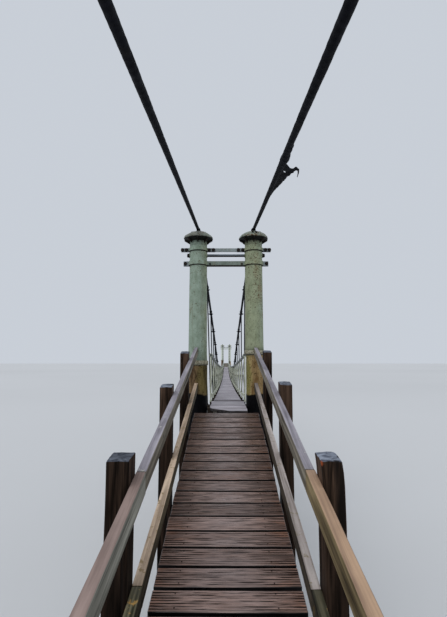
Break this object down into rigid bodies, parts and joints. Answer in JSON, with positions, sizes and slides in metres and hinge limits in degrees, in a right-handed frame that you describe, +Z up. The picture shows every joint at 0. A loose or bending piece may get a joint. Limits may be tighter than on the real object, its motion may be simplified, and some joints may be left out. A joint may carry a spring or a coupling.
{
  "type": "suspension footbridge, scale model at 1:2",
  "caption": "Narrow suspension footbridge: portal towers of round steel columns, sagging cables and deck with braced parapets, timber ramps with handrails, concrete anchors.",
  "frame": {"origin": "mid-span, on the bridge's centreline, at ground level", "axes": "+Y along the bridge from the near end to the far end, +X to the right, +Z up"},
  "size_m": [0.7, 39.25, 2.0157],
  "materials": {
    "post_timber": "dark weathered sawn timber",
    "rail_timber": "grey weathered timber, lichen on top",
    "ramp_board": "wet dark grooved boards",
    "deck_board": "pale grey weathered boards",
    "frame_timber": "dark weathered timber",
    "column_base_steel": "rusted pipe with a black coating at its foot",
    "column_top_steel": "pale green paint with rust specks",
    "cap_steel": "pale green paint, rusty edges",
    "tie_steel": "pale grey green paint, dirty underside",
    "rod_steel": "dull rusty rod",
    "cable_steel": "dark greased wire rope",
    "parapet_steel": "pale green paint, weathered",
    "anchor_concrete": "weathered concrete"
  },
  "bodies": {
    "root": {"main_cable_left": "cable_steel", "parapet_left": "parapet_steel", "main_cable_right": "cable_steel", "parapet_right": "parapet_steel", "suspended_deck_near": "deck_board", "deck_frame_near": "frame_timber", "suspended_deck_middle": "deck_board", "deck_frame_middle": "frame_timber", "suspended_deck_far": "deck_board", "deck_frame_far": "frame_timber", "near_column_base_left": "column_base_steel", "near_column_top_left": "column_top_steel", "near_column_cap_left": "cap_steel", "near_backstay_left": "cable_steel", "near_stringer_left": "frame_timber", "near_foot_post_left": "post_timber", "near_handrail_left": "rail_timber", "near_midrail_left": "rail_timber", "near_column_base_right": "column_base_steel", "near_column_top_right": "column_top_steel", "near_column_cap_right": "cap_steel", "near_backstay_right": "cable_steel", "near_stringer_right": "frame_timber", "near_foot_post_right": "post_timber", "near_handrail_right": "rail_timber", "near_midrail_right": "rail_timber", "near_ramp_frame_1": "post_timber", "near_ramp_frame_2": "post_timber", "near_ramp_frame_3": "post_timber", "near_ramp_frame_4": "post_timber", "near_ramp_deck": "ramp_board", "near_upper_tie": "tie_steel", "near_lower_tie": "tie_steel", "near_tie_rod": "rod_steel", "near_anchor_block": "anchor_concrete", "far_column_base_left": "column_base_steel", "far_column_top_left": "column_top_steel", "far_column_cap_left": "cap_steel", "far_backstay_left": "cable_steel", "far_stringer_left": "frame_timber", "far_foot_post_left": "post_timber", "far_handrail_left": "rail_timber", "far_midrail_left": "rail_timber", "far_column_base_right": "column_base_steel", "far_column_top_right": "column_top_steel", "far_column_cap_right": "cap_steel", "far_backstay_right": "cable_steel", "far_stringer_right": "frame_timber", "far_foot_post_right": "post_timber", "far_handrail_right": "rail_timber", "far_midrail_right": "rail_timber", "far_ramp_frame_1": "post_timber", "far_ramp_frame_2": "post_timber", "far_ramp_frame_3": "post_timber", "far_ramp_frame_4": "post_timber", "far_ramp_deck": "ramp_board", "far_upper_tie": "tie_steel", "far_lower_tie": "tie_steel", "far_tie_rod": "rod_steel", "far_anchor_block": "anchor_concrete"}
  },
  "joints": []
}
